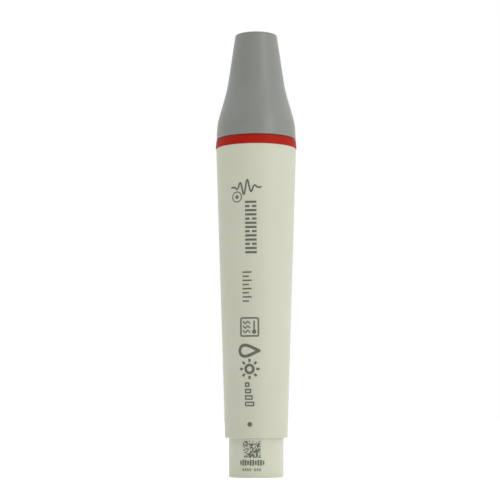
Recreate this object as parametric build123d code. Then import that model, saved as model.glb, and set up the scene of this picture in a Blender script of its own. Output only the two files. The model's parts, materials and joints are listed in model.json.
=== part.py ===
from build123d import *
import os
from math import cos, pi, radians, sin

# Detachable ultrasonic scaler handpiece with a lit nose. Millimetres, +Z towards the nose.
# The origin is the centre of the rear end face, on which the handpiece stands.
# The alignment dot and the key groove are on the -Y side.

# ---------------------------------------------------------------- driving dimensions
LENGTH = 101.0

# casing
SPIGOT_R = 6.2
SPIGOT_TENON_Z = 16.0
CASING_REAR_Z = 8.7
CASING_REAR_R = 7.15
CASING_TAPER_Z = 15.3
CASING_TAPER_R = 7.25
CASING_FRONT_Z = 74.45
CASING_FRONT_R = 9.14
CASING_BORE_R = 6.0
CASING_LIP_R = 5.5
CASING_LIP_Z = 62.0
EDGE_R = 0.35

# rear connector
SOCKET_R = 4.9
SOCKET_DEPTH = 6.0
SOCKET_LEAD_IN = 0.3
BLOCK_R = 5.2
BLOCK_TOP_Z = 13.0
KEY_WIDTH = 1.6
KEY_R = 5.5
CONTACT_CIRCLE_R = 3.2
CONTACT_R = 0.75
CONTACT_BORE_R = 0.4
CONTACT_DEPTH = 5.0
CONTACT_TAIL = 0.8
INLET_R = 2.0
INLET_BORE_R = 1.25
INLET_TOP_Z = 11.0
INLET_SEAL_Z = 8.5
INLET_SEAL_WIRE_R = 0.24
NIPPLE_TIP_Z = 18.0
NIPPLE_R = 1.0
WATER_R = 0.6

# transducer stack, from the rear forwards
HOSE_R = 1.9
BOLT_TIP_Z = 26.0
BOLT_HEAD_Z = 30.2
BOLT_HEAD_FLATS = 6.0
BACK_MASS_Z = 33.2
BACK_MASS_LENGTH = 12.0
STACK_R = 5.0
PIEZO_BORE_R = 2.5
PIEZO_HEIGHT = 2.5
PIEZO_COUNT = 4
ELECTRODE_HEIGHT = 0.2
TAB_R = 5.25
TAB_WIDTH = 1.6
BOLT_SHANK_R = 2.0
BOLT_SLEEVE_R = 2.4
HORN_DISC_HEIGHT = 3.0
BOLT_GRIP = 6.0
HORN_WAIST_R = 4.5
FLANGE_Z = 66.0
FLANGE_HEIGHT = 2.0
FLANGE_R = 6.6
FLANGE_FLATS = 12.2
HORN_TAPER_Z = 71.0
HORN_TIP_SHOULDER_Z = 96.0
HORN_ROD_Z = 80.0
HORN_ROD_R = 2.5
STUD_R = 1.5
STUD_TOP_Z = 100.2
STUD_CHAMFER = 0.3

# front sleeve, its neck and the four-start thread for the nose cap
SLEEVE_R = 7.75
CHAMBER_Z = 65.0
CHAMBER_TOP_Z = 69.0
CHAMBER_R = 6.7
NECK_BORE_R = 5.6
NECK_TOP_Z = 80.8
THREAD_STARTS = 4
THREAD_PITCH = 1.0
NECK_ROOT_R = 6.46
NECK_CREST_R = 6.98
INSERT_CREST_R = 6.54
INSERT_ROOT_R = 7.06
THREAD_FOOT = 0.62
THREAD_TIP = 0.16
THREAD_SINK = 0.06
THREAD_RUNOUT = 0.5

# lamp
LAMP_SOCKET_Z = 76.0
LAMP_SOCKET_HEIGHT = 3.0
LAMP_SOCKET_BORE_R = 4.2
LAMP_PIN_CIRCLE_R = 4.95
LAMP_PIN_R = 0.25
LAMP_PIN_Z = 77.0
HOLDER_PLUG_Z = 79.3
HOLDER_R = 6.3
HOLDER_RECESS_R = 5.7
HOLDER_TOP_Z = 84.2
HOLDER_BORE_R = 3.4
BOARD_Z = 82.6
BOARD_HEIGHT = 0.6
LED_COUNT = 6
LED_CIRCLE_R = 4.3
LED_SIZE = 1.5
LED_HEIGHT = 0.45
LED_DOME_R = 0.62
LED_DOME_HEIGHT = 0.25

# wires
WIRE_R = 0.22
TAB_WIRE_R = 0.25
WIRE_BEND_R = 5.0
WIRE_TURN_IN_Z = 24.0
WIRE_RUN_R = 5.7

# light pipe
PIPE_TOP_Z = 100.7
PIPE_BORE_R = 2.95
PIPE_FOOT_R = 6.1
PIPE_WAIST_Z = 90.5
PIPE_WAIST_R = 4.85
PIPE_TOP_R = 3.75
PIPE_COLLAR_R = 5.65
PIPE_COLLAR_BORE_R = 5.3
PIPE_COLLAR_HEIGHT = 0.7

# nose cap, its threaded insert and the seal ring
RING_TOP_Z = 76.63
RING_BOTTOM_R = 9.27
RING_TOP_R = 9.12
RING_BORE_R = 7.95
RING_EDGE_R = 0.15
RING_GAP_HEIGHT = 0.2
RING_GAP_DEPTH = 0.4
INSERT_R = 7.9
INSERT_Z = 74.75
INSERT_TOP_Z = 81.3
CAP_SKIRT_R = 9.09
CAP_SKIRT_EDGE_R = 0.14
CAP_SHOULDER = (8.86, 80.0)
CAP_STEEPEST = (7.82, 84.2)
CAP_HOLLOW = (6.71, 88.4)
CAP_CONE_Z = 90.5
CAP_CONE_R = 6.34
CAP_RIM_R = 4.79
CAP_RIM_EDGE_R = 0.3
CAP_MOUTH_R = 3.98
CAP_MOUTH_EDGE_R = 0.2
CAVITY_STEP_R = 7.2
CAVITY_LAMP_Z = 84.2
CAVITY_LAMP_R = 6.55
CAVITY_GAP = 0.3

BOTTOM = (Align.CENTER, Align.CENTER, Align.MIN)


# ---------------------------------------------------------------- shared shapes
def rod(radius, low, high):
    return Pos(0, 0, low) * Cylinder(radius, high - low, align=BOTTOM)


def tube(outer, inner, low, high):
    return rod(outer, low, high) - rod(inner, low, high)


def turned(*outline):
    """A closed outline of (radius, z) points, turned about the axis."""
    return revolve(make_face(Plane.XZ * Polyline(*outline, close=True)), Axis.Z)


def turned_edges(edges):
    """A closed outline of drawn edges, turned about the axis."""
    return revolve(make_face(Plane.XZ * Wire(edges)), Axis.Z)


def seal(centre_r, wire_r, z):
    return Pos(0, 0, z) * Torus(centre_r, wire_r)


def at_angle(degrees, shape):
    return Rot(0, 0, degrees) * shape


def circle_point(radius, degrees, z):
    return (radius * cos(radians(degrees)), radius * sin(radians(degrees)), z)


def rounded(shape, radius, z, edge_r):
    """Rounds the circular edges of one radius at one height."""
    edges = [
        edge
        for edge in shape.edges().filter_by(GeomType.CIRCLE)
        if abs(edge.radius - radius) < 0.01 and abs(edge.center().Z - z) < 0.01
    ]
    return fillet(edges, edge_r)


def thread_ridge(foot_r, tip_r, anchor_r, height):
    """One helical ridge from its foot to its tip, run on to anchor_r inside the wall."""
    flank = (THREAD_FOOT - THREAD_TIP) / 2 / abs(tip_r - foot_r)
    anchor = THREAD_FOOT / 2 + flank * abs(anchor_r - foot_r)
    tip = THREAD_TIP / 2
    outline = [(anchor_r, -anchor), (tip_r, -tip), (tip_r, tip), (anchor_r, anchor)]
    face = make_face(Plane.XZ * Polyline(*outline, close=True))
    path = Helix(THREAD_PITCH * THREAD_STARTS, height, foot_r)
    return sweep(face, path=path, is_frenet=True)


def with_thread(body, ridge, low, high, wide_r, phase):
    """Adds every start of a thread to a body, trimmed to run from low to high."""
    trim = rod(wide_r, low, high)
    for start in range(THREAD_STARTS):
        turn = at_angle(360 * start / THREAD_STARTS, ridge)
        body = body + ((Pos(0, 0, CASING_FRONT_Z - THREAD_PITCH + phase) * turn) & trim)
    return body


def wire(degrees, wire_r, route):
    """A wire along (radius, z) points in one radial plane, with an arc at each bend."""
    points = [circle_point(r, degrees, z) for r, z in route]
    path = FilletPolyline(*points, radius=WIRE_BEND_R)
    return sweep(Plane(origin=path @ 0, z_dir=path % 0) * Circle(wire_r), path=path)


def save(name, shape):
    export_step(Compound(children=list(shape.solids())), f"parts/{name}.step")


# ---------------------------------------------------------------- casing
def housing():
    outline = [
        (CASING_BORE_R, CASING_REAR_Z),
        (CASING_REAR_R, CASING_REAR_Z),
        (CASING_TAPER_R, CASING_TAPER_Z),
        (CASING_FRONT_R, CASING_FRONT_Z),
        (SLEEVE_R, CASING_FRONT_Z),
        (SLEEVE_R, CHAMBER_Z),
        (CASING_LIP_R, CHAMBER_Z),
        (CASING_LIP_R, CASING_LIP_Z),
        (CASING_BORE_R, CASING_LIP_Z),
    ]
    shell = rounded(turned(*outline), CASING_REAR_R, CASING_REAR_Z, EDGE_R)
    return rounded(shell, CASING_FRONT_R, CASING_FRONT_Z, EDGE_R / 3)


def rear_spigot():
    """The exposed spigot, with a narrower tenon that is pressed into the casing's bore."""
    outline = [
        (SOCKET_R + SOCKET_LEAD_IN, 0),
        (SPIGOT_R, 0),
        (SPIGOT_R, CASING_REAR_Z),
        (CASING_BORE_R, CASING_REAR_Z),
        (CASING_BORE_R, SPIGOT_TENON_Z),
        (BLOCK_R, SPIGOT_TENON_Z),
        (BLOCK_R, SOCKET_DEPTH),
        (SOCKET_R, SOCKET_DEPTH),
        (SOCKET_R, SOCKET_LEAD_IN),
    ]
    shell = rounded(turned(*outline), SPIGOT_R, 0, EDGE_R)
    key = Pos(0, -KEY_R / 2, SOCKET_DEPTH / 2) * Box(KEY_WIDTH, KEY_R, SOCKET_DEPTH)
    return shell - key


def front_sleeve():
    outline = [
        (CHAMBER_R, CHAMBER_Z),
        (SLEEVE_R, CHAMBER_Z),
        (SLEEVE_R, CASING_FRONT_Z),
        (NECK_ROOT_R, CASING_FRONT_Z),
        (NECK_ROOT_R, NECK_TOP_Z),
        (NECK_BORE_R, NECK_TOP_Z),
        (NECK_BORE_R, CHAMBER_TOP_Z),
        (CHAMBER_R, CHAMBER_TOP_Z),
    ]
    ridge_length = NECK_TOP_Z - CASING_FRONT_Z + 2 * THREAD_PITCH
    ridge = thread_ridge(NECK_ROOT_R, NECK_CREST_R, NECK_ROOT_R - THREAD_SINK, ridge_length)
    low = CASING_FRONT_Z + THREAD_RUNOUT
    high = NECK_TOP_Z - THREAD_RUNOUT
    sleeve = with_thread(turned(*outline), ridge, low, high, SLEEVE_R, 0)
    return sleeve + flange_lugs()


def flange_lugs():
    """Two flats inside the chamber that stop the horn's flange from turning."""
    low = FLANGE_Z + FLANGE_HEIGHT / 4
    high = FLANGE_Z + FLANGE_HEIGHT * 3 / 4
    flats = FLANGE_FLATS / 2 + CHAMBER_R - FLANGE_R
    gap = Pos(0, 0, low) * Box(2 * flats, 2 * SLEEVE_R, high - low, align=BOTTOM)
    return rod(CHAMBER_R + THREAD_SINK, low, high) - gap


# ---------------------------------------------------------------- rear connector
def contact_angles():
    return [0, 90, 180, 270]


def contact_block():
    block = tube(BLOCK_R, INLET_R, SOCKET_DEPTH, BLOCK_TOP_Z)
    for degrees in contact_angles():
        place = Pos(*circle_point(CONTACT_CIRCLE_R, degrees, 0))
        block = block - place * rod(CONTACT_R, SOCKET_DEPTH, BLOCK_TOP_Z)
    return block


def contact_socket(degrees):
    body = rod(CONTACT_R, SOCKET_DEPTH, BLOCK_TOP_Z)
    body = body - rod(CONTACT_BORE_R, SOCKET_DEPTH, SOCKET_DEPTH + CONTACT_DEPTH)
    tail = rod(CONTACT_BORE_R, BLOCK_TOP_Z, BLOCK_TOP_Z + CONTACT_TAIL)
    return Pos(*circle_point(CONTACT_CIRCLE_R, degrees, 0)) * (body + tail)


def water_inlet():
    groove_r = INLET_BORE_R + 2 * INLET_SEAL_WIRE_R
    groove = rod(groove_r, INLET_SEAL_Z - INLET_SEAL_WIRE_R, INLET_SEAL_Z + INLET_SEAL_WIRE_R)
    return tube(INLET_R, INLET_BORE_R, SOCKET_DEPTH, INLET_TOP_Z) - groove


def inlet_seal():
    return seal(INLET_BORE_R + INLET_SEAL_WIRE_R, INLET_SEAL_WIRE_R, INLET_SEAL_Z)


def hose_nipple():
    plug = rod(INLET_R, INLET_TOP_Z, BLOCK_TOP_Z)
    nipple = rod(NIPPLE_R, BLOCK_TOP_Z, NIPPLE_TIP_Z)
    return plug + nipple - rod(WATER_R, INLET_TOP_Z, NIPPLE_TIP_Z)


def water_hose():
    return tube(HOSE_R, NIPPLE_R, BLOCK_TOP_Z, BOLT_HEAD_Z)


# ---------------------------------------------------------------- transducer stack
STACK_Z = BACK_MASS_Z + BACK_MASS_LENGTH
CELL_HEIGHT = PIEZO_HEIGHT + ELECTRODE_HEIGHT
HORN_Z = STACK_Z + PIEZO_COUNT * CELL_HEIGHT


def electrode_z(number):
    """Rear face of an electrode. Number 1 is next to the horn, the last is on the back mass."""
    return HORN_Z - number * CELL_HEIGHT


def tab_angle(number):
    """Odd electrodes carry the drive voltage and even ones are ground."""
    return 90 if number % 2 else 270


def clamp_bolt():
    across = BOLT_HEAD_FLATS / 2 / cos(pi / 6)
    head = extrude(Pos(0, 0, BOLT_HEAD_Z) * RegularPolygon(across, 6), BACK_MASS_Z - BOLT_HEAD_Z)
    nipple = rod(NIPPLE_R, BOLT_TIP_Z, BOLT_HEAD_Z)
    shank = rod(BOLT_SHANK_R, BACK_MASS_Z, HORN_Z + BOLT_GRIP)
    return head + nipple + shank - rod(WATER_R, BOLT_TIP_Z, HORN_Z + BOLT_GRIP)


def back_mass():
    body = tube(STACK_R, BOLT_SHANK_R, BACK_MASS_Z, STACK_Z)
    return rounded(body, STACK_R, BACK_MASS_Z, EDGE_R)


def piezo_ring(number):
    low = electrode_z(number) + ELECTRODE_HEIGHT
    return tube(STACK_R, PIEZO_BORE_R, low, low + PIEZO_HEIGHT)


def electrode(number):
    low = electrode_z(number)
    disc = rod(STACK_R, low, low + ELECTRODE_HEIGHT)
    tab = Pos(0, 0, low) * Box(TAB_R, TAB_WIDTH, ELECTRODE_HEIGHT, align=(Align.MIN, Align.CENTER, Align.MIN))
    plate = disc + at_angle(tab_angle(number), tab)
    return plate - rod(PIEZO_BORE_R, low, low + ELECTRODE_HEIGHT)


def bolt_sleeve():
    return tube(BOLT_SLEEVE_R, BOLT_SHANK_R, STACK_Z, HORN_Z)


def horn():
    flange_top = FLANGE_Z + FLANGE_HEIGHT
    body = turned(
        (WATER_R, HORN_Z + BOLT_GRIP),
        (BOLT_SHANK_R, HORN_Z + BOLT_GRIP),
        (BOLT_SHANK_R, HORN_Z),
        (STACK_R, HORN_Z),
        (STACK_R, HORN_Z + HORN_DISC_HEIGHT),
        (HORN_WAIST_R, HORN_Z + HORN_DISC_HEIGHT + STACK_R - HORN_WAIST_R),
        (HORN_WAIST_R, FLANGE_Z),
        (FLANGE_R, FLANGE_Z),
        (FLANGE_R, flange_top),
        (HORN_WAIST_R, flange_top),
        (HORN_WAIST_R, HORN_TAPER_Z),
        (HORN_ROD_R, HORN_ROD_Z),
        (HORN_ROD_R, HORN_TIP_SHOULDER_Z),
        (STUD_R, HORN_TIP_SHOULDER_Z),
        (STUD_R, STUD_TOP_Z - STUD_CHAMFER),
        (STUD_R - STUD_CHAMFER, STUD_TOP_Z),
        (WATER_R, STUD_TOP_Z),
    )
    for side in (-1, 1):
        flat = Box(FLANGE_R, 2 * FLANGE_R, FLANGE_HEIGHT, align=(Align.MIN, Align.CENTER, Align.MIN))
        body = body - at_angle(90 - 90 * side, Pos(FLANGE_FLATS / 2, 0, FLANGE_Z) * flat)
        hole = rod(LAMP_PIN_R + 0.1, FLANGE_Z, flange_top)
        body = body - Pos(side * LAMP_PIN_CIRCLE_R, 0, 0) * hole
    return body


def flange_seal(z):
    wire_r = (FLANGE_Z - CHAMBER_Z) / 2
    return seal(FLANGE_R - wire_r, wire_r, z)


# ---------------------------------------------------------------- lamp
def lamp_sides():
    return [0, 180]


def drill_pins(body, low, high):
    for degrees in lamp_sides():
        body = body - Pos(*circle_point(LAMP_PIN_CIRCLE_R, degrees, 0)) * rod(LAMP_PIN_R, low, high)
    return body


def lamp_socket():
    top = LAMP_SOCKET_Z + LAMP_SOCKET_HEIGHT
    return drill_pins(tube(NECK_BORE_R, LAMP_SOCKET_BORE_R, LAMP_SOCKET_Z, top), LAMP_SOCKET_Z, top)


def lamp_holder():
    body = turned(
        (HOLDER_BORE_R, HOLDER_PLUG_Z),
        (NECK_BORE_R, HOLDER_PLUG_Z),
        (NECK_BORE_R, NECK_TOP_Z),
        (HOLDER_R, NECK_TOP_Z),
        (HOLDER_R, HOLDER_TOP_Z),
        (HOLDER_RECESS_R, HOLDER_TOP_Z),
        (HOLDER_RECESS_R, BOARD_Z),
        (HOLDER_BORE_R, BOARD_Z),
    )
    return drill_pins(body, HOLDER_PLUG_Z, BOARD_Z)


def lamp_board():
    top = BOARD_Z + BOARD_HEIGHT
    return drill_pins(tube(HOLDER_RECESS_R, HOLDER_BORE_R, BOARD_Z, top), BOARD_Z, top)


def lamp_pins():
    low, high = LAMP_PIN_Z, BOARD_Z + BOARD_HEIGHT
    return Compound(
        children=[
            Pos(*circle_point(LAMP_PIN_CIRCLE_R, degrees, 0)) * rod(LAMP_PIN_R, low, high)
            for degrees in lamp_sides()
        ]
    )


def led_chips():
    """Six square chips, each with a low lens, standing clear of the two pins."""
    top = BOARD_Z + BOARD_HEIGHT
    base = Pos(0, 0, top) * Box(LED_SIZE, LED_SIZE, LED_HEIGHT, align=BOTTOM)
    lens = Cone(LED_DOME_R, LED_DOME_R * 0.6, LED_DOME_HEIGHT, align=BOTTOM)
    chip = base + Pos(0, 0, top + LED_HEIGHT) * lens
    step = 360 / LED_COUNT
    return Compound(
        children=[
            at_angle(step * (i + 0.5), Pos(LED_CIRCLE_R, 0, 0) * chip) for i in range(LED_COUNT)
        ]
    )


def horn_seal():
    wire_r = (HOLDER_BORE_R - HORN_ROD_R) / 2
    return seal(HORN_ROD_R + wire_r, wire_r, (NECK_TOP_Z + BOARD_Z) / 2)


# ---------------------------------------------------------------- wires
def stack_wire(number):
    """From an electrode tab, down past the next tab of the same pole, to its contact."""
    run_r = TAB_R + TAB_WIRE_R
    route = [
        (run_r, electrode_z(number) + ELECTRODE_HEIGHT),
        (run_r, WIRE_TURN_IN_Z),
        (CONTACT_CIRCLE_R, WIRE_TURN_IN_Z - 7.0),
        (CONTACT_CIRCLE_R, BLOCK_TOP_Z + CONTACT_TAIL),
    ]
    return wire(tab_angle(number), TAB_WIRE_R, route)


def lamp_wire(degrees):
    """From a lamp pin, back through the flange and along the casing wall, to its contact."""
    route = [
        (LAMP_PIN_CIRCLE_R, LAMP_PIN_Z),
        (LAMP_PIN_CIRCLE_R, CASING_LIP_Z),
        (WIRE_RUN_R, HORN_Z + 1.0),
        (WIRE_RUN_R, WIRE_TURN_IN_Z),
        (CONTACT_CIRCLE_R, WIRE_TURN_IN_Z - 7.0),
        (CONTACT_CIRCLE_R, BLOCK_TOP_Z + CONTACT_TAIL),
    ]
    return wire(degrees, WIRE_R, route)


# ---------------------------------------------------------------- light pipe
def light_pipe():
    flare = Spline(
        (PIPE_FOOT_R, HOLDER_TOP_Z),
        (PIPE_WAIST_R, PIPE_WAIST_Z),
        (PIPE_TOP_R, PIPE_TOP_Z),
        tangents=[(-0.25, 1), (-0.1, 1)],
    )
    collar_z = HOLDER_TOP_Z - PIPE_COLLAR_HEIGHT
    rest = Polyline(
        (PIPE_TOP_R, PIPE_TOP_Z),
        (PIPE_BORE_R, PIPE_TOP_Z),
        (PIPE_BORE_R, HOLDER_TOP_Z),
        (PIPE_COLLAR_BORE_R, HOLDER_TOP_Z),
        (PIPE_COLLAR_BORE_R, collar_z),
        (PIPE_COLLAR_R, collar_z),
        (PIPE_COLLAR_R, HOLDER_TOP_Z),
        (PIPE_FOOT_R, HOLDER_TOP_Z),
    )
    return turned_edges([flare, *rest.edges()])


# ---------------------------------------------------------------- nose
def seal_ring():
    """The ring meets the cap on a narrower step, which leaves a thin shadow gap between them."""
    gap_z = RING_TOP_Z - RING_GAP_HEIGHT
    step_r = RING_TOP_R - RING_GAP_DEPTH
    body = turned(
        (RING_BORE_R, CASING_FRONT_Z),
        (RING_BOTTOM_R, CASING_FRONT_Z),
        (RING_TOP_R, gap_z),
        (step_r, gap_z),
        (step_r, RING_TOP_Z),
        (RING_BORE_R, RING_TOP_Z),
    )
    body = rounded(body, RING_BOTTOM_R, CASING_FRONT_Z, RING_EDGE_R)
    return rounded(body, RING_TOP_R, gap_z, RING_EDGE_R)


def cap_insert():
    ridge_length = INSERT_TOP_Z - CASING_FRONT_Z + 3 * THREAD_PITCH
    ridge = thread_ridge(INSERT_ROOT_R, INSERT_CREST_R, INSERT_ROOT_R + THREAD_SINK, ridge_length)
    body = tube(INSERT_R, INSERT_ROOT_R, INSERT_Z, INSERT_TOP_Z)
    low = INSERT_Z + THREAD_RUNOUT
    high = NECK_TOP_Z - THREAD_RUNOUT / 2
    return with_thread(body, ridge, low, high, INSERT_R, THREAD_PITCH / 2)


def nose_cap():
    cone_slope = (CAP_CONE_R - CAP_RIM_R) / (LENGTH - CAP_CONE_Z)
    shoulder = Spline(
        (CAP_SKIRT_R, RING_TOP_Z),
        CAP_SHOULDER,
        CAP_STEEPEST,
        CAP_HOLLOW,
        (CAP_CONE_R, CAP_CONE_Z),
        tangents=[(-0.05, 1), (-cone_slope, 1)],
    )
    inside = Polyline(
        (CAP_CONE_R, CAP_CONE_Z),
        (CAP_RIM_R, LENGTH),
        (CAP_MOUTH_R, LENGTH),
        (PIPE_WAIST_R + CAVITY_GAP, PIPE_WAIST_Z),
        (CAVITY_LAMP_R, CAVITY_LAMP_Z),
        (CAVITY_STEP_R, INSERT_TOP_Z),
        (INSERT_R, INSERT_TOP_Z),
        (INSERT_R, RING_TOP_Z),
        (CAP_SKIRT_R, RING_TOP_Z),
    )
    body = turned_edges([shoulder, *inside.edges()])
    body = rounded(body, CAP_SKIRT_R, RING_TOP_Z, CAP_SKIRT_EDGE_R)
    body = rounded(body, CAP_RIM_R, LENGTH, CAP_RIM_EDGE_R)
    return rounded(body, CAP_MOUTH_R, LENGTH, CAP_MOUTH_EDGE_R)


# ---------------------------------------------------------------- every piece
def main():
    os.makedirs("parts", exist_ok=True)

    save("housing", housing())
    save("rear_spigot", rear_spigot())
    save("front_sleeve", front_sleeve())

    save("contact_block", contact_block())
    for number, degrees in enumerate(contact_angles(), 1):
        save(f"contact_socket_{number}", contact_socket(degrees))
    save("water_inlet", water_inlet())
    save("inlet_seal", inlet_seal())
    save("hose_nipple", hose_nipple())
    save("water_hose", water_hose())

    save("clamp_bolt", clamp_bolt())
    save("back_mass", back_mass())
    for number in range(1, PIEZO_COUNT + 1):
        save(f"piezo_ring_{number}", piezo_ring(number))
        save(f"electrode_{number}", electrode(number))
    save("bolt_sleeve", bolt_sleeve())
    save("horn", horn())
    save("flange_seal_rear", flange_seal((CHAMBER_Z + FLANGE_Z) / 2))
    save("flange_seal_front", flange_seal((CHAMBER_TOP_Z + FLANGE_Z + FLANGE_HEIGHT) / 2))

    save("lamp_socket", lamp_socket())
    save("lamp_holder", lamp_holder())
    save("lamp_board", lamp_board())
    save("lamp_pins", lamp_pins())
    save("led_chips", led_chips())
    save("horn_seal", horn_seal())

    save("drive_wire", stack_wire(1))
    save("ground_wire", stack_wire(2))
    for number, degrees in enumerate(lamp_sides(), 1):
        save(f"lamp_wire_{number}", lamp_wire(degrees))

    save("light_pipe", light_pipe())
    save("seal_ring", seal_ring())
    save("cap_insert", cap_insert())
    save("nose_cap", nose_cap())


main()
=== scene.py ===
"""The finished look of the ultrasonic scaler handpiece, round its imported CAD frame.

Lengths are in metres. The handpiece stands on its rear end, +Z runs to its nose, and the side with
the alignment dot faces -Y.
"""

import json
import math

import bmesh
import bpy
import numpy as np
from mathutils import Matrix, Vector


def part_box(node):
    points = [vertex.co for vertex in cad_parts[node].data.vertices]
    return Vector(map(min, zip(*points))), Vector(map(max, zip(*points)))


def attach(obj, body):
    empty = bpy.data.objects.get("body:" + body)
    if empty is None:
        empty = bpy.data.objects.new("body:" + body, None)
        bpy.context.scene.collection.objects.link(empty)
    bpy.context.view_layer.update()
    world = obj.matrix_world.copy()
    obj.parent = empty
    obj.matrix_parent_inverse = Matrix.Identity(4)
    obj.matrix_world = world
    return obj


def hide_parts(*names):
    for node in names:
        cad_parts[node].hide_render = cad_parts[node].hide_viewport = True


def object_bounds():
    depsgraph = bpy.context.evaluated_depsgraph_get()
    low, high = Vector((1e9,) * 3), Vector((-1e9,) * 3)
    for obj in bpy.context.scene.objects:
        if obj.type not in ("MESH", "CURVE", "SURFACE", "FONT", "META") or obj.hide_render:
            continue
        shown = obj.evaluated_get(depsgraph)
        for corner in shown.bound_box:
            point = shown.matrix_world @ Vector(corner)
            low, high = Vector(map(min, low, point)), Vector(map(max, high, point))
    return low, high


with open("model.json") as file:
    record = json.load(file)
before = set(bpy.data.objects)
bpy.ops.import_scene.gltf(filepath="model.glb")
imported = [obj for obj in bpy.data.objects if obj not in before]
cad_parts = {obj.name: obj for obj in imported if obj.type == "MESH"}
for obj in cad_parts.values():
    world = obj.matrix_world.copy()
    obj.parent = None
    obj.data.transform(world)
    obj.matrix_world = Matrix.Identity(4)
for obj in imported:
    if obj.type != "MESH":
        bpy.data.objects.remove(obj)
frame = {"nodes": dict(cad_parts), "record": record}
cad_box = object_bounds()
nodes = frame["nodes"]

MM = 0.001
TURN = 2 * math.pi


# ---------------------------------------------------------------- shapes
SHARP_DEGREES = 32
CORNER_STEPS = 6
DRILL_SEGMENTS = 24


def polar(radius, angle, height):
    """A point at an angle from the alignment dot's side, -Y, turning towards +X."""
    return Vector((radius * math.sin(angle), -radius * math.cos(angle), height))


def new_piece(name, mesh, body, material):
    piece = bpy.data.objects.new(name, mesh)
    bpy.context.scene.collection.objects.link(piece)
    piece.data.materials.append(material)
    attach(piece, body)
    return piece


def smooth(mesh, sharp_degrees):
    mesh.shade_smooth()
    mesh.set_sharp_from_angle(angle=math.radians(sharp_degrees))


def round_corners(points, radii):
    """An outline in which each corner with a radius becomes an arc."""
    outline = []
    for i, radius in enumerate(radii):
        corner = Vector(points[i])
        if radius == 0:
            outline.append(tuple(corner))
            continue
        before = Vector(points[i - 1]) - corner
        after = Vector(points[(i + 1) % len(points)]) - corner
        half_angle = before.angle(after) / 2
        reach = radius / math.tan(half_angle)
        start = corner + before.normalized() * reach
        end = corner + after.normalized() * reach
        inwards = (before.normalized() + after.normalized()).normalized()
        centre = corner + inwards * radius / math.sin(half_angle)
        for step in range(CORNER_STEPS + 1):
            spoke = (start - centre).lerp(end - centre, step / CORNER_STEPS)
            outline.append(tuple(centre + spoke.normalized() * radius))
    return outline


def outer_wall(node):
    """Heights and radii of a turned CAD node's outer wall, from its own faces."""
    wall = {}
    mesh = nodes[node].data
    for face in mesh.polygons:
        outwards = face.center.copy()
        outwards.z = 0
        if face.normal.dot(outwards.normalized()) > 0.5:
            for index in face.vertices:
                corner = mesh.vertices[index].co
                height = round(corner.z, 6)
                wall[height] = max(wall.get(height, 0.0), corner.xy.length)
    heights = sorted(wall)
    return heights, [wall[height] for height in heights]


def skin(build, loops, closed=False):
    """Faces between rings of points that follow each other. A ring of one point closes an end."""
    rings = [[build.verts.new(point) for point in loop] for loop in loops]
    if closed:
        rings.append(rings[0])
    for ring, following in zip(rings, rings[1:]):
        count = max(len(ring), len(following))
        for i in range(count):
            j = (i + 1) % count
            corners = [ring[i % len(ring)], ring[j % len(ring)]]
            corners += [following[j % len(following)], following[i % len(following)]]
            build.faces.new(dict.fromkeys(corners))


def plug(build, centre, bottom, top, loops):
    """A closed stack of rings round a centre, with a point at each end."""
    skin(build, [[centre + Vector((0, 0, bottom))], *loops, [centre + Vector((0, 0, top))]])


def circle(radius, height, segments, reshape=None):
    """A ring of points round the axis. reshape gives the radius at each angle."""
    angles = [TURN * i / segments for i in range(segments)]
    if reshape:
        return [polar(reshape(radius, angle, height), angle, height) for angle in angles]
    return [polar(radius, angle, height) for angle in angles]


def block_loop(centre, angle, half_out, half_round, height, squareness, count=48):
    """A ring of points round a rounded rectangle that faces away from the axis."""
    out = polar(1, angle, 0)
    around = polar(1, angle + TURN / 4, 0)
    points = []
    for i in range(count):
        cosine = math.cos(TURN * i / count)
        sine = math.sin(TURN * i / count)
        reach = (abs(cosine) ** squareness + abs(sine) ** squareness) ** (-1 / squareness)
        outwards = out * cosine * reach * half_out
        sideways = around * sine * reach * half_round
        points.append(centre + outwards + sideways + Vector((0, 0, height)))
    return points


def closed_mesh(name, build, sharp_degrees=SHARP_DEGREES):
    mesh = bpy.data.meshes.new(name)
    bmesh.ops.recalc_face_normals(build, faces=build.faces)
    build.to_mesh(mesh)
    build.free()
    smooth(mesh, sharp_degrees)
    return mesh


def lathe(name, outline, segments, reshape=None):
    """A closed (radius, height) outline, turned into a closed mesh."""
    build = bmesh.new()
    skin(build, [circle(radius, height, segments, reshape) for radius, height in outline], closed=True)
    return closed_mesh(name, build)


def drill(piece, holes):
    """Cuts round holes along Z, each (x, y, radius, bottom, top), out of a piece for good."""
    build = bmesh.new()
    for x, y, radius, bottom, top in holes:
        centre = Vector((x, y, 0))
        ends = [circle(radius, height, DRILL_SEGMENTS) for height in (bottom, top)]
        plug(build, centre, bottom, top, [[centre + point for point in end] for end in ends])
    cutter = bpy.data.objects.new("cutter", closed_mesh("cutter", build))
    bpy.context.scene.collection.objects.link(cutter)
    cut = piece.modifiers.new("holes", "BOOLEAN")
    cut.operation = "DIFFERENCE"
    cut.solver = "EXACT"
    cut.object = cutter
    view = bpy.context.evaluated_depsgraph_get()
    drilled = bpy.data.meshes.new_from_object(piece.evaluated_get(view))
    piece.modifiers.remove(cut)
    piece.data = drilled
    bpy.data.objects.remove(cutter)
    smooth(drilled, SHARP_DEGREES)


# ---------------------------------------------------------------- materials
TEXTURE_LOW = 0.3
TEXTURE_HIGH = 0.7
WEAVE_SCALE = 800
FROSTED_DEPTH = 0.12 * MM
FROST_ROUGHNESS = 0.5
FROST_MILKINESS = 0.45

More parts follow.
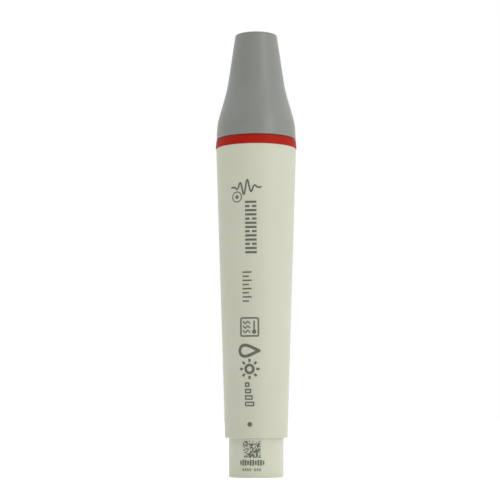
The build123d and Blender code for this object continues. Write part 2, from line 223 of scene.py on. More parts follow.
CASING = (0.45, 0.453, 0.365)
# the casing's colour made a little lighter: painted light that offsets the shade the spigot gets near
# the floor
SPIGOT_LIGHTENED = (0.472, 0.476, 0.384)
CAP_GREY = (0.182, 0.192, 0.175)
RING_RED = (0.285, 0.0072, 0.0014)
INK = (0.075, 0.088, 0.06)
PALE_INK_FACTOR = 2.2
STEEL = (0.60, 0.59, 0.57)
TITANIUM = (0.50, 0.48, 0.45)
SOLDER = (0.62, 0.62, 0.64)
GOLD = (0.95, 0.68, 0.28)
BRASS = (0.80, 0.58, 0.28)
CONTACT_BLOCK = (0.045, 0.045, 0.05)
O_RING_BLACK = (0.018, 0.018, 0.019)
MILKY_HOSE = (0.72, 0.72, 0.68)
FIRED_CERAMIC = (0.11, 0.10, 0.085)
BOLT_SLEEVE = (0.72, 0.71, 0.66)
LAMP_HOLDER = (0.72, 0.72, 0.69)
SOLDER_MASK = (0.78, 0.79, 0.76)
LAMP_PACKAGE = (0.82, 0.82, 0.80)
PHOSPHOR = (0.92, 0.70, 0.13)
PIPE_TINT = (0.96, 0.985, 0.98)
DRIVE_RED = (0.45, 0.03, 0.02)
GROUND_BLACK = (0.02, 0.02, 0.02)
LAMP_BLUE = (0.05, 0.10, 0.40)


class Recipe:
    """A material made step by step round one Principled shader."""

    def __init__(self, name, roughness, metallic=0.0, ior=1.5):
        self.material = bpy.data.materials.new(name)
        self.material.use_nodes = True
        self.tree = self.material.node_tree
        self.shader = self.tree.nodes["Principled BSDF"]
        self.shader.inputs["Roughness"].default_value = roughness
        self.shader.inputs["Metallic"].default_value = metallic
        self.shader.inputs["IOR"].default_value = ior
        self.place = self.add("ShaderNodeTexCoord").outputs["Object"]

    def add(self, kind, **settings):
        node = self.tree.nodes.new(kind)
        for key, value in settings.items():
            setattr(node, key, value)
        return node

    def join(self, output, socket):
        self.tree.links.new(output, socket)

    def stretched(self, scale):
        """The place in the object, scaled along each axis."""
        node = self.add("ShaderNodeMapping")
        node.inputs["Scale"].default_value = scale
        self.join(self.place, node.inputs["Vector"])
        return node.outputs["Vector"]

    def noise(self, size, detail=2.0, rough=0.5, place=None):
        """Noise whose blobs are about size metres across."""
        node = self.add("ShaderNodeTexNoise")
        node.inputs["Scale"].default_value = 1 / size
        node.inputs["Detail"].default_value = detail
        node.inputs["Roughness"].default_value = rough
        self.join(place or self.place, node.inputs["Vector"])
        return node.outputs["Fac"]

    def math(self, operation, a, b=0.0):
        node = self.add("ShaderNodeMath", operation=operation)
        for value, socket in zip((a, b), node.inputs):
            if isinstance(value, (int, float)):
                socket.default_value = value
            else:
                self.join(value, socket)
        return node.outputs[0]

    def spread(self, fac, low, high):
        """Maps a texture's middle range to low..high."""
        node = self.add("ShaderNodeMapRange")
        node.inputs["From Min"].default_value = TEXTURE_LOW
        node.inputs["From Max"].default_value = TEXTURE_HIGH
        node.inputs["To Min"].default_value = low
        node.inputs["To Max"].default_value = high
        self.join(fac, node.inputs["Value"])
        return node.outputs["Result"]

    def colours(self, fac, low, high):
        """Base colour that drifts from low to high as fac goes through its middle range."""
        node = self.add("ShaderNodeValToRGB")
        node.color_ramp.elements[0].position = TEXTURE_LOW
        node.color_ramp.elements[1].position = TEXTURE_HIGH
        node.color_ramp.elements[0].color = (*low, 1)
        node.color_ramp.elements[1].color = (*high, 1)
        self.join(fac, node.inputs["Fac"])
        self.join(node.outputs["Color"], self.shader.inputs["Base Color"])

    def rough(self, fac, low, high):
        self.join(self.spread(fac, low, high), self.shader.inputs["Roughness"])

    def bump(self, height, depth, strength=1.0):
        """Raises the surface by up to depth metres. Bumps given one after another add up."""
        node = self.add("ShaderNodeBump")
        node.inputs["Distance"].default_value = depth
        node.inputs["Strength"].default_value = strength
        self.join(height, node.inputs["Height"])
        before = self.shader.inputs["Normal"].links
        if before:
            self.join(before[0].from_socket, node.inputs["Normal"])
        self.join(node.outputs["Normal"], self.shader.inputs["Normal"])

    def turning_marks(self, pitch, depth):
        """Fine grooves left by a lathe: they run round the axis on walls and end faces alike."""
        split = self.add("ShaderNodeSeparateXYZ")
        self.join(self.place, split.inputs["Vector"])
        x_squared = self.math("MULTIPLY", split.outputs["X"], split.outputs["X"])
        y_squared = self.math("MULTIPLY", split.outputs["Y"], split.outputs["Y"])
        radius = self.math("SQRT", self.math("ADD", x_squared, y_squared))
        line = self.add("ShaderNodeCombineXYZ")
        self.join(self.math("ADD", split.outputs["Z"], radius), line.inputs["Z"])
        groove = self.noise(pitch, detail=3.0, rough=0.7, place=line.outputs["Vector"])
        self.bump(groove, depth)
        return groove


def shade(colour, factor):
    return tuple(channel * factor for channel in colour)


def moulded(name, colour, roughness, grain, depth, drift=0.06, subsurface=0.0, specular=0.5):
    """Moulded plastic: slow colour drift, fine tool texture, uneven gloss."""
    recipe = Recipe(name, roughness)
    slow = recipe.noise(14 * MM, detail=3.0)
    recipe.colours(slow, shade(colour, 1 - drift), shade(colour, 1 + drift))
    fine = recipe.noise(grain, detail=4.0, rough=0.6)
    recipe.rough(fine, roughness - 0.06, roughness + 0.06)
    recipe.bump(fine, depth)
    recipe.bump(recipe.noise(6 * MM, detail=1.0), 6 * depth, strength=0.5)
    recipe.shader.inputs["Specular IOR Level"].default_value = specular
    if subsurface:
        recipe.shader.inputs["Subsurface Weight"].default_value = subsurface
        recipe.shader.inputs["Subsurface Radius"].default_value = (1.2, 1.0, 0.7)
        recipe.shader.inputs["Subsurface Scale"].default_value = 0.6 * MM
    return recipe.material


def rubbery(name, colour, roughness, subsurface=0.0):
    """Rubber or soft wire insulation: moulded, with a deeper grain and more drift."""
    return moulded(name, colour, roughness, 0.08 * MM, 0.004 * MM, drift=0.1, subsurface=subsurface)


def turned_metal(name, colour, roughness, pitch=0.06 * MM, depth=0.0012 * MM):
    recipe = Recipe(name, roughness, metallic=1.0)
    groove = recipe.turning_marks(pitch, depth)
    recipe.rough(groove, roughness - 0.05, roughness + 0.09)
    recipe.colours(recipe.noise(2.5 * MM, detail=3.0), shade(colour, 0.93), shade(colour, 1.05))
    return recipe.material


def fired_ceramic(name, colour):
    recipe = Recipe(name, 0.55)
    speck = recipe.noise(0.12 * MM, detail=5.0, rough=0.7)
    recipe.colours(speck, shade(colour, 0.8), shade(colour, 1.25))
    recipe.rough(speck, 0.45, 0.65)
    recipe.bump(speck, 0.003 * MM)
    return recipe.material


def laminate(name, mask):
    """White solder mask with the weave of the glass cloth just showing through."""
    recipe = Recipe(name, 0.35)
    threads = []
    for direction in ("X", "Y"):
        wave = recipe.add("ShaderNodeTexWave", wave_type="BANDS", bands_direction=direction)
        wave.inputs["Scale"].default_value = WEAVE_SCALE
        wave.inputs["Distortion"].default_value = 0.5
        recipe.join(recipe.place, wave.inputs["Vector"])
        threads.append(wave.outputs["Fac"])
    weave = recipe.math("MULTIPLY", *threads)
    recipe.colours(weave, shade(mask, 0.96), mask)
    recipe.bump(weave, 0.0015 * MM)
    return recipe.material


def light_guide(name, tint, end_height):
    """Clear plastic whose walls are polished and whose front end is frosted."""
    recipe = Recipe(name, 0.04, ior=1.49)
    split = recipe.add("ShaderNodeSeparateXYZ")
    recipe.join(recipe.place, split.inputs["Vector"])
    near_end = recipe.math("GREATER_THAN", split.outputs["Z"], end_height - FROSTED_DEPTH)
    flow = recipe.noise(1.5 * MM, detail=3.0, rough=0.6, place=recipe.stretched((1, 1, 0.25)))
    recipe.colours(flow, shade(tint, 0.98), tint)
    frost = recipe.math("MULTIPLY", near_end, FROST_ROUGHNESS)
    polish = recipe.spread(flow, 0.02, 0.06)
    recipe.join(recipe.math("ADD", frost, polish), recipe.shader.inputs["Roughness"])
    recipe.bump(recipe.math("MULTIPLY", near_end, recipe.noise(0.05 * MM)), 0.02 * MM)
    milky = recipe.math("MULTIPLY", near_end, FROST_MILKINESS)
    recipe.join(recipe.math("SUBTRACT", 1.0, milky), recipe.shader.inputs["Transmission Weight"])
    return recipe.material


def phosphor(name, colour):
    """Glossy silicone full of phosphor grains, a little see-through."""
    recipe = Recipe(name, 0.16)
    grain = recipe.noise(0.04 * MM, detail=4.0, rough=0.7)
    recipe.colours(grain, shade(colour, 0.88), shade(colour, 1.08))
    recipe.rough(grain, 0.12, 0.22)
    recipe.bump(recipe.noise(0.3 * MM), 0.006 * MM)
    recipe.shader.inputs["Subsurface Weight"].default_value = 0.4
    recipe.shader.inputs["Subsurface Scale"].default_value = 0.3 * MM
    return recipe.material


def printed_ink(name, colour):
    """Pad-printed ink, a little uneven in cover."""
    recipe = Recipe(name, 0.6)
    cover = recipe.noise(0.35 * MM, detail=4.0, rough=0.65)
    recipe.colours(cover, shade(colour, 0.8), shade(colour, 1.35))
    recipe.rough(cover, 0.5, 0.7)
    recipe.bump(cover, 0.003 * MM)
    return recipe.material


slot_material = {
    "casing": moulded(
        "casing", CASING, 0.46, 0.10 * MM, 0.0022 * MM, drift=0.02, subsurface=0.15, specular=0.25
    ),
    "spigot": moulded(
        "spigot", SPIGOT_LIGHTENED, 0.42, 0.10 * MM, 0.0018 * MM, drift=0.02, subsurface=0.15, specular=0.25
    ),
    "cap_plastic": moulded(
        "cap_plastic", CAP_GREY, 0.33, 0.09 * MM, 0.0012 * MM, drift=0.03, specular=0.30
    ),
    "ring_silicone": moulded(
        "ring_silicone", RING_RED, 0.5, 0.08 * MM, 0.004 * MM, drift=0.05, specular=0.10
    ),
    "stainless": turned_metal("stainless", STEEL, 0.24),
    "titanium": turned_metal("titanium", TITANIUM, 0.30, pitch=0.09 * MM),
    "contact_gold": turned_metal("contact_gold", GOLD, 0.20, pitch=0.05 * MM, depth=0.0006 * MM),
    "electrode_brass": turned_metal("electrode_brass", BRASS, 0.28),
    "insulator": moulded("insulator", CONTACT_BLOCK, 0.5, 0.08 * MM, 0.003 * MM),
    "nitrile": rubbery("nitrile", O_RING_BLACK, 0.45),
    "hose_silicone": rubbery("hose_silicone", MILKY_HOSE, 0.32, subsurface=0.4),
    "piezo_ceramic": fired_ceramic("piezo_ceramic", FIRED_CERAMIC),
    "bolt_insulation": moulded("bolt_insulation", BOLT_SLEEVE, 0.4, 0.1 * MM, 0.002 * MM),
    "lamp_body": moulded(
        "lamp_body", LAMP_HOLDER, 0.42, 0.1 * MM, 0.003 * MM, drift=0.03, subsurface=0.2
    ),
    "lamp_laminate": laminate("lamp_laminate", SOLDER_MASK),
    "led_lens": phosphor("led_lens", PHOSPHOR),
    "drive_lead": rubbery("drive_lead", DRIVE_RED, 0.4),
    "ground_lead": rubbery("ground_lead", GROUND_BLACK, 0.4),
    "lamp_lead": rubbery("lamp_lead", LAMP_BLUE, 0.4),
    "clear_pipe": light_guide("clear_pipe", PIPE_TINT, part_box("light_pipe")[1][2]),
}
package = moulded("package", LAMP_PACKAGE, 0.4, 0.06 * MM, 0.002 * MM)
solder = turned_metal("solder", SOLDER, 0.3, pitch=0.2 * MM, depth=0.003 * MM)
ink = printed_ink("ink", INK)
pale_ink = printed_ink("pale_ink", shade(INK, PALE_INK_FACTOR))


def dress_cad_nodes():
    """Every CAD node gets the material of its slot."""
    for part in frame["record"]["subparts"]:
        mesh = nodes[part["node"]].data
        mesh.materials.clear()
        mesh.materials.append(slot_material[part["material_slot"]])


# ---------------------------------------------------------------- detailed pieces
LAMP_PIN_CIRCLE = 4.95 * MM


def thread_height(phase, crest_share, root_share):
    """A thread's height, 0 at the root and 1 on the crest, for a phase of 0 to 1 along its pitch."""
    from_crest = abs((phase % 1.0) - 0.5) * 2
    flank = (1 - root_share - from_crest) / (1 - root_share - crest_share)
    return min(max(flank, 0.0), 1.0)


def make_horn():
    """The horn with its rounded edges, and the M3 thread of the tip stud."""
    low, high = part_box("horn")
    # radii in mm
    bore = 0.6
    stud = 1.5
    bolt_hole = 2.0
    rod = 2.5
    waist = 4.5
    disc = 5.0
    half_flats = 6.1
    flange = 6.6
    # heights in mm above the horn's rear face
    rear = 0
    disc_front = 3.0
    waist_rear = 3.5
    bolt_end = 6
    flange_rear = 10
    flange_front = 12
    taper_start = 15
    taper_end = 24
    shoulder = 40
    front = (high[2] - low[2]) / MM
    # the stud's thread and chamfer, in mm and in shares of the pitch; a hair is the least that counts
    pitch = 0.5
    depth = 0.3
    relief = 0.35
    run_in = 0.2
    crest_share = 0.14
    root_share = 0.12
    thread_steps = 112
    chamfer = 0.3
    hair = 0.001
    corners = [
        (bore, bolt_end, 0),
        (bolt_hole, bolt_end, 0),
        (bolt_hole, rear, 0.2),
        (disc, rear, 0.2),
        (disc, disc_front, 0.15),
        (waist, waist_rear, 0.4),
        (waist, flange_rear, 0.4),
        (flange, flange_rear, 0.2),
        (flange, flange_front, 0.2),
        (waist, flange_front, 0.4),
        (waist, taper_start, 3.0),
        (rod, taper_end, 12.0),
        (rod, shoulder, 0.15),
        (stud, shoulder, 0),
    ]
    outline = round_corners([corner[:2] for corner in corners], [corner[2] for corner in corners])
    for step in range(1, thread_steps + 1):
        outline.append((stud, shoulder + (front - chamfer - shoulder) * step / thread_steps))
    outline += [(stud - chamfer, front), (bore, front)]

    def reshape(radius, angle, height):
        """Cuts the flange's two flats and the stud's thread into the turned shape."""
        above = (height - low[2]) / MM
        across = abs(math.sin(angle))
        if flange_rear - hair < above < flange_front + hair and across > hair:
            return min(radius, half_flats * MM / across)
        if above > shoulder - hair and abs(radius / MM - stud) < hair:
            grown = thread_height(above / pitch - angle / TURN, crest_share, root_share)
            grown *= min(max((above - shoulder - relief) / run_in, 0.0), 1.0)
            return radius - depth * MM * (1 - grown)
        return radius

    places = [(radius * MM, low[2] + height * MM) for radius, height in outline]
    mesh = lathe("horn_turned", places, segments=144, reshape=reshape)
    horn = new_piece("horn_turned", mesh, "handpiece", slot_material["titanium"])
    wire_hole = 0.35 * MM
    span = (low[2] + (flange_rear - 1) * MM, low[2] + (flange_front + 1) * MM)
    drill(horn, [(side * LAMP_PIN_CIRCLE, 0, wire_hole, *span) for side in (-1, 1)])
    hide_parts("horn")


def add_package(build, centre, angle, half, bottom, top):
    """A square white chip package with bevelled edges."""
    edge = 0.05 * MM
    squareness = 12
    sizes = [(half - edge, bottom), (half, bottom + edge), (half, top - edge), (half - edge, top)]
    loops = [block_loop(centre, angle, size, size, height, squareness) for size, height in sizes]
    plug(build, centre, bottom, top, loops)


def add_lens(build, centre, angle, bottom, top):
    """A domed yellow lens on a package."""
    radius = 0.62 * MM
    steps = 10
    loops = []
    for step in range(steps):
        rise = TURN / 4 * step / steps
        size = radius * math.cos(rise)
        height = bottom + (top - bottom) * math.sin(rise)
        loops.append(block_loop(centre, angle, size, size, height, squareness=2))
    plug(build, centre, bottom, top, loops)


def add_pad(build, centre, angle, bottom):
    """A thin gold pad on the board, longer outwards than sideways."""
    half_out = 0.55 * MM
    half_round = 0.2 * MM
    bevel = 0.02 * MM
    top = bottom + 0.03 * MM
    squareness = 8
    count = 24
    loops = [
        block_loop(centre, angle, half_out, half_round, bottom, squareness, count),
        block_loop(centre, angle, half_out - bevel, half_round - bevel, top, squareness, count),
    ]
    plug(build, centre, bottom, top, loops)


def make_lamp_ring():
    """The six white chip packages with their yellow lenses, and the board's pads and solder."""
    board_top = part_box("lamp_board")[1][2]
    chips_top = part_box("led_chips")[1][2]
    lamp_count = 6
    ring_radius = 4.3 * MM
    half_package = 0.75 * MM
    pad_offset = 0.98 * MM
    lens_height = 0.25 * MM
    package_top = chips_top - lens_height
    packages = bmesh.new()
    lenses = bmesh.new()
    pads = bmesh.new()
    for i in range(lamp_count):
        angle = TURN * i / lamp_count
        centre = polar(ring_radius, angle, 0)
        add_package(packages, centre, angle, half_package, board_top, package_top)
        add_lens(lenses, centre, angle, package_top, chips_top)
        for side in (-1, 1):
            spot = centre + polar(pad_offset * side, angle + TURN / 4, 0)
            add_pad(pads, spot, angle, board_top)
    body = "handpiece"
    slot = "led_lens"
    package_piece = new_piece("led_packages", closed_mesh("led_packages", packages), body, package)
    new_piece("led_lenses", closed_mesh("led_lenses", lenses), body, slot_material[slot])
    slot = "contact_gold"
    new_piece("lamp_pads", closed_mesh("lamp_pads", pads), body, slot_material[slot])
    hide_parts("led_chips")
    make_lamp_solder(board_top)


def make_lamp_solder(board_top):
    """A cone of solder round each of the lamp's two pins."""
    profile = [(0.52, 0.0), (0.44, 0.05), (0.33, 0.14), (0.26, 0.26), (0.16, 0.33)]
    top = board_top + 0.35 * MM
    build = bmesh.new()
    for side in (-1, 1):
        centre = Vector((side * LAMP_PIN_CIRCLE, 0, 0))
        loops = []
        for radius, height in profile:
            ring = circle(radius * MM, board_top + height * MM, segments=32)
            loops.append([centre + point for point in ring])
        plug(build, centre, board_top, top, loops)
    mesh = closed_mesh("lamp_solder", build, sharp_degrees=50)
    new_piece("lamp_solder", mesh, "handpiece", solder)


def make_light_pipe():
    """The light guide, with more segments than its CAD mesh and a rounded front end."""
    low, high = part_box("light_pipe")
    heights, radii = outer_wall("light_pipe")
    bore = 2.95 * MM
    collar_bore = 5.3 * MM
    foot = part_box("lamp_holder")[1][2]
    rounding = 0.1 * MM
    bevel = 0.3 * rounding
    rear = low[2]
    front = high[2]
    rim = radii[-1]
    hair = 0.001 * MM
    outline = [(radius, height) for radius, height in zip(radii, heights) if height < front - hair]
    outline += [
        (rim, front - rounding),
        (rim - bevel, front - bevel),
        (rim - rounding, front),
        (bore + rounding, front),
        (bore, front - rounding),
        (bore, foot),
        (collar_bore, foot),
        (collar_bore, rear),
    ]
    mesh = lathe("light_pipe_clear", outline, segments=192)
    pipe = new_piece("light_pipe_clear", mesh, "light_pipe", slot_material["clear_pipe"])
    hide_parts("light_pipe")


# ---------------------------------------------------------------- printed marks
class Print:
    """Thin closed patches of ink that follow a turned wall.

    Places are (arc, height) in mm. The arc is measured round the wall from the alignment dot's side.
    """

    LIFT = 0.016 * MM
    SINK = 0.03 * MM
    CELL = 0.3
    NARROWEST = 0.02
    RING_STEPS = 40

    def __init__(self, node):
        self.mesh = bmesh.new()
        self.heights, self.radii = outer_wall(node)

    def point(self, arc, height, lift):
        wall = np.interp(height * MM, self.heights, self.radii)
        return polar(wall + lift, arc * MM / wall, height * MM)

    def shell(self, grid):
        """A closed shell over a grid of (arc, height) places."""
        top = [[self.mesh.verts.new(self.point(*place, self.LIFT)) for place in row] for row in grid]
        under = [[self.mesh.verts.new(self.point(*place, -self.SINK)) for place in row] for row in grid]
        rows = len(grid)
        columns = len(grid[0])
        for i in range(rows - 1):
            for j in range(columns - 1):
                self.mesh.faces.new((top[i][j], top[i][j + 1], top[i + 1][j + 1], top[i + 1][j]))
                self.mesh.faces.new((under[i][j], under[i + 1][j], under[i + 1][j + 1], under[i][j + 1]))
        rim = [(0, j) for j in range(columns)]
        rim += [(i, columns - 1) for i in range(1, rows)]
        rim += [(rows - 1, j) for j in range(columns - 2, -1, -1)]
        rim += [(i, 0) for i in range(rows - 2, 0, -1)]
        for (a, b), (c, d) in zip(rim, rim[1:] + rim[:1]):
            self.mesh.faces.new((top[a][b], under[a][b], under[c][d], top[c][d]))

    def stroke(self, path, width, closed=False):
        """A line of ink along a path. width is one number, or one for each point."""
        count = len(path)
        widths = width if hasattr(width, "__len__") else [width] * count
        spans = max(1, math.ceil(max(widths) / self.CELL))
        grid = []
        for i, (arc, height) in enumerate(path):
            before = path[i - 1] if i or closed else path[0]
            after = path[(i + 1) % count] if i < count - 1 or closed else path[-1]
            along = Vector((after[0] - before[0], after[1] - before[1])).normalized()
            side = Vector((-along.y, along.x)) * widths[i] / 2
            shares = np.linspace(-1, 1, spans + 1)
            grid.append([(arc + side.x * share, height + side.y * share) for share in shares])
        if closed:
            for i in range(count):
                self.shell([grid[i], grid[(i + 1) % count]])
        else:
            self.shell(grid)

    def line(self, start, end, width):
        steps = max(1, math.ceil(math.dist(start, end) / self.CELL))
        path = [tuple(Vector(start).lerp(Vector(end), step / steps)) for step in range(steps + 1)]
        self.stroke(path, width)

    def disc(self, centre, radius, steps=16):
        arc, height = centre
        turns = [math.pi * step / steps for step in range(steps + 1)]
        path = [(arc, height - radius * math.cos(turn)) for turn in turns]
        widths = [max(2 * radius * math.sin(turn), self.NARROWEST) for turn in turns]
        self.stroke(path, widths)

    def ring(self, centre, radius, width):
        arc, height = centre
        turns = [TURN * step / self.RING_STEPS for step in range(self.RING_STEPS)]
        path = [(arc + radius * math.cos(turn), height + radius * math.sin(turn)) for turn in turns]
        self.stroke(path, width, closed=True)

    def box(self, centre, half_wide, half_high, corner, width):
        corners = [(-half_wide, -half_high), (half_wide, -half_high)]
        corners += [(half_wide, half_high), (-half_wide, half_high)]
        outline = round_corners(corners, [corner] * 4)
        path = []
        for start, end in zip(outline, outline[1:] + outline[:1]):
            steps = max(1, math.ceil(math.dist(start, end) / self.CELL))
            for step in range(steps):
                offset = Vector(start).lerp(Vector(end), step / steps)
                path.append(tuple(Vector(centre) + offset))
        self.stroke(path, width, closed=True)

    def finish(self, name, material):
        bmesh.ops.recalc_face_normals(self.mesh, faces=self.mesh.faces)
        mesh = bpy.data.meshes.new(name)
        self.mesh.to_mesh(mesh)
        self.mesh.free()
        new_piece(name, mesh, "handpiece", material)


def print_wave():
    """A decaying wave and a ringed dot: the general sign for ultrasound."""
    mark = Print("housing")
    centre_arc = -0.65
    centre_height = 64.55
    half_length = 3.6
    swing = 1.75
    wavelength = 1.75
    spread = 1.75
    half_steps = 48
    path = []
    for step in range(2 * half_steps + 1):
        arc = half_length * (step / half_steps - 1)
        envelope = math.exp(-((arc / spread) ** 2))
        rise = swing * envelope * math.sin(TURN * arc / wavelength)
        path.append((centre_arc + arc, centre_height + rise))
    mark.stroke(path, width=0.38)
    dot = (-2.75, 62.4)
    mark.ring(dot, radius=1.13, width=0.25)
    mark.disc(dot, radius=0.42)
    mark.finish("mark_wave", ink)


def print_bold_bars():
    """A row of bold bars along the handle, in which every third one is split."""
    mark = Print("housing")
    centre = 0.5
    half = 1.3
    half_gap = 0.25
    top = 61.2
    pitch = 0.94
    width = 0.5
    for i in range(13):
        height = top - i * pitch
        if i % 3 == 1:
            mark.line((centre - half, height), (centre - half_gap, height), width)
            mark.line((centre + half_gap, height), (centre + half, height), width)
        else:
            mark.line((centre - half, height), (centre + half, height), width)
    mark.finish("mark_bars", ink)


def print_fine_bars():
    """A row of fine bars below the bold ones, long and short in turn."""
    mark = Print("housing")
    centre = -0.45
    half = 1.05
    short_reach = 0.45
    top = 45.5
    pitch = 0.92
    for i in range(8):
        height = top - i * pitch
        reach = half if i % 2 == 0 else short_reach
        mark.line((centre - half, height), (centre + reach, height), width=0.33)
    mark.finish("mark_fine_bars", ink)


def print_steriliser_box():
    """A rounded square with three steam waves and a plain thermometer."""
    mark = Print("housing")
    arc = 0.05
    height = 33.3
    mark.box((arc, height), half_wide=2.0, half_high=2.0, corner=0.3, width=0.36)
    steam_start = arc - 1.55
    steam_length = 1.75
    steam_swing = 0.24
    steam_waves = 1.5
    steam_steps = 32
    for row in (-1, 0, 1):
        steam = []
        for step in range(steam_steps + 1):
            share = step / steam_steps
            rise = steam_swing * math.cos(TURN * steam_waves * share)
            steam.append((steam_start + steam_length * share, height + row + rise))
        mark.stroke(steam, width=0.3)
    stem = arc + 1.05
    mark.line((stem, height - 1.0), (stem, height + 1.4), width=0.36)
    mark.disc((stem, height - 1.05), radius=0.5)
    mark.finish("mark_steriliser", ink)


def print_drop_and_lamp():
    """A water drop and a lit lamp."""
    mark = Print("housing")
    drop_height = 28.05
    half_long = 2.25
    half_wide = 1.8
    taper = 1.7
    steps = 64
    drop = []
    for step in range(steps):
        turn = TURN * step / steps
        rise = half_wide * math.sin(turn) * math.sin(turn / 2) ** taper
        drop.append((half_long * math.cos(turn), drop_height + rise))
    mark.stroke(drop, width=0.68, closed=True)
    lamp_height = 24.0
    rays = 8
    ray_start = 1.5
    ray_end = 2.25
    mark.ring((0.0, lamp_height), radius=0.88, width=0.6)
    for i in range(rays):
        turn = TURN * i / rays
        start = (ray_start * math.cos(turn), lamp_height + ray_start * math.sin(turn))
        end = (ray_end * math.cos(turn), lamp_height + ray_end * math.sin(turn))
        mark.line(start, end, width=0.52)
    mark.finish("mark_drop_and_lamp", ink)


def print_levels():
    """Four outlined blocks that grow, as on a plain power scale."""
    mark = Print("housing")
    left = -1.1
    top = 20.55
    pitch = 1.42
    half_high = 0.36
    line_width = 0.32
    for i, width in enumerate((1.1, 1.45, 1.8, 2.15)):
        centre = (width / 2 + left, top - i * pitch)
        mark.box(centre, width / 2 - line_width / 2, half_high, corner=0.04, width=line_width)
    mark.finish("mark_levels", ink)


def print_alignment_dot():
    dot = Print("housing")
    dot.disc((0, 11.8), radius=0.54, steps=24)
    dot.finish("alignment_dot", ink)


def scatter(column, row):
    """A repeatable number from 0 to 1 that looks random."""
    return math.sin(12.9898 * column + 78.233 * row) * 43758.5453 % 1.0


def print_tiles():
    """A scatter of square tiles that encodes nothing."""
    mark = Print("rear_spigot")
    columns = 15
    rows = 14
    cell = 0.265
    size = 0.25
    left = 0.2 - cell * columns / 2
    base = 4.4
    bare_share = 0.42
    for row in range(rows):
        for column in range(columns):
            if scatter(column, row) > bare_share:
                arc = left + cell * (column + 0.5)
                height = base + cell * (row + 0.5)
                mark.line((arc - size / 2, height), (arc + size / 2, height), size)
    mark.finish("mark_tiles", ink)


def print_dashes():
    """A row of upright dashes, and a paler row of small ones in two groups."""
    upright = Print("rear_spigot")
    middle = 0.26
    height = 3.35
    pitch = 0.58
    for i in range(10):
        arc = middle + (i - 4.5) * pitch
        tall = 1.3 if i % 3 else 0.9
        upright.line((arc, height - tall / 2), (arc, height + tall / 2), width=0.4)
    upright.finish("mark_dashes", ink)
    small = Print("rear_spigot")
    middle = 0.15
    height = 1.8
    pitch = 0.55
    half_length = 0.2
    gap_between_groups = 4
    for i in range(8):
        if i != gap_between_groups:
            arc = middle + (i - 3.5) * pitch
            small.line((arc - half_length, height), (arc + half_length, height), width=0.6)
    small.finish("mark_small_dashes", pale_ink)


# ---------------------------------------------------------------- stage, light and camera
FLOOR_RADIUS = 4.0
FLOOR_GLOW = 0.3
FLOOR_DARK = (0.90, 0.90, 0.90)
FLOOR_LIGHT = (0.92, 0.92, 0.92)

TENT_SEEN = 1.0
TENT_SIDES = 0.84
TENT_OVERHEAD = 1.5
TENT_FRONT = 0.29
# sines of the elevations between which the tent brightens towards its top
TENT_RISE_START = 0.15
TENT_RISE_END = 0.75

# angles in degrees; sides are measured from the alignment dot's side, towards +X
CAMERA_SIDE = 11.4
CAMERA_PITCH = 5.92
CAMERA_YAW = 0.222
CAMERA_DISTANCE = 362.8 * MM
CAMERA_HEIGHT = 13.65 * MM
DARK_SIDE = CAMERA_SIDE - 22
DARK_INNER = 25
DARK_OUTER = 75
KEY_SIDE = CAMERA_SIDE + 40
KEY_ELEVATION = 8
KEY_DISTANCE = 0.60
KEY_WIDTH = 0.24
KEY_HEIGHT = 0.65
KEY_POWER = 1.45


def make_floor():
    """A pale sheet with a little light coming through it, as on a product table."""
    mesh = bpy.data.meshes.new("floor")
    build = bmesh.new()
    bmesh.ops.create_circle(build, cap_ends=True, segments=96, radius=FLOOR_RADIUS)
    build.to_mesh(mesh)
    build.free()
    floor = bpy.data.objects.new("floor", mesh)
    bpy.context.scene.collection.objects.link(floor)
    paint = Recipe("floor_paint", 0.9)
    paint.colours(paint.noise(0.2), FLOOR_DARK, FLOOR_LIGHT)
    paint.shader.inputs["Specular IOR Level"].default_value = 0.1
    paint.shader.inputs["Emission Color"].default_value = (1, 1, 1, 1)
    paint.shader.inputs["Emission Strength"].default_value = FLOOR_GLOW
    mesh.materials.append(paint.material)


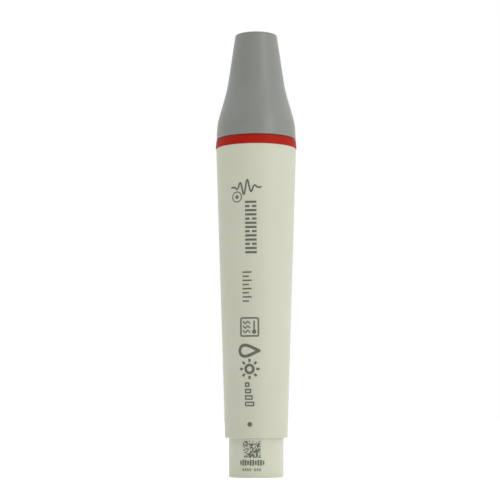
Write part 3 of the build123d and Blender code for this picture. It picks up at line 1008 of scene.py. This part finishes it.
def make_world():
    """A white tent, brighter overhead and darker a little to the left of the camera.

    The camera itself sees plain white.
    """
    world = bpy.data.worlds.new("white_tent")
    bpy.context.scene.world = world
    world.use_nodes = True
    tree = world.node_tree
    background = tree.nodes["Background"]
    background.inputs["Color"].default_value = (1, 1, 1, 1)
    direction = tree.nodes.new("ShaderNodeTexCoord").outputs["Generated"]

    def facing(towards, start, end, low, high):
        """From low to high as the direction swings towards one way. start and end are cosines."""
        dot = tree.nodes.new("ShaderNodeVectorMath")
        dot.operation = "DOT_PRODUCT"
        dot.inputs[1].default_value = towards
        tree.links.new(direction, dot.inputs[0])
        level = tree.nodes.new("ShaderNodeMapRange")
        level.interpolation_type = "SMOOTHSTEP"
        level.inputs["From Min"].default_value = start
        level.inputs["From Max"].default_value = end
        level.inputs["To Min"].default_value = low
        level.inputs["To Max"].default_value = high
        tree.links.new(dot.outputs["Value"], level.inputs["Value"])
        return level.outputs["Result"]

    above = facing((0, 0, 1), TENT_RISE_START, TENT_RISE_END, TENT_SIDES, TENT_OVERHEAD)
    dark_way = polar(1.0, math.radians(DARK_SIDE), 0.0)
    dark_start = math.cos(math.radians(DARK_OUTER))
    dark_end = math.cos(math.radians(DARK_INNER))
    ahead = facing(dark_way, dark_start, dark_end, 1.0, TENT_FRONT)
    product = tree.nodes.new("ShaderNodeMath")
    product.operation = "MULTIPLY"
    tree.links.new(above, product.inputs[0])
    tree.links.new(ahead, product.inputs[1])
    sight = tree.nodes.new("ShaderNodeLightPath")
    choice = tree.nodes.new("ShaderNodeMix")
    tree.links.new(sight.outputs["Is Camera Ray"], choice.inputs["Factor"])
    tree.links.new(product.outputs[0], choice.inputs["A"])
    choice.inputs["B"].default_value = TENT_SEEN
    tree.links.new(choice.outputs["Result"], background.inputs["Strength"])


def make_key_lamp():
    """A soft tall lamp to the right of the camera, aimed at the middle of the handpiece."""
    light = bpy.data.lights.new("key", "AREA")
    light.shape = "RECTANGLE"
    light.size = KEY_WIDTH
    light.size_y = KEY_HEIGHT
    light.energy = KEY_POWER
    lamp = bpy.data.objects.new("key", light)
    bpy.context.scene.collection.objects.link(lamp)
    elevation = math.radians(KEY_ELEVATION)
    middle = (cad_box[0] + cad_box[1]) / 2
    away = polar(math.cos(elevation), math.radians(KEY_SIDE), math.sin(elevation))
    lamp.location = middle + away * KEY_DISTANCE
    lamp.rotation_euler = away.to_track_quat("Z", "Y").to_euler()


def make_camera():
    data = bpy.data.cameras.new("camera")
    data.sensor_width = 36
    data.lens = 115.2
    data.clip_start = 0.01
    data.clip_end = 50
    camera = bpy.data.objects.new("camera", data)
    bpy.context.scene.collection.objects.link(camera)
    side = math.radians(CAMERA_SIDE)
    camera.location = polar(CAMERA_DISTANCE, side, CAMERA_HEIGHT)
    camera.rotation_euler = (math.radians(90 + CAMERA_PITCH), 0, side + math.radians(CAMERA_YAW))
    bpy.context.scene.camera = camera


# ---------------------------------------------------------------- build
dress_cad_nodes()
make_horn()
make_lamp_ring()
make_light_pipe()
print_wave()
print_bold_bars()
print_fine_bars()
print_steriliser_box()
print_drop_and_lamp()
print_levels()
print_alignment_dot()
print_tiles()
print_dashes()

make_floor()
make_world()
make_key_lamp()
make_camera()
bpy.context.scene.view_settings.view_transform = "Standard"
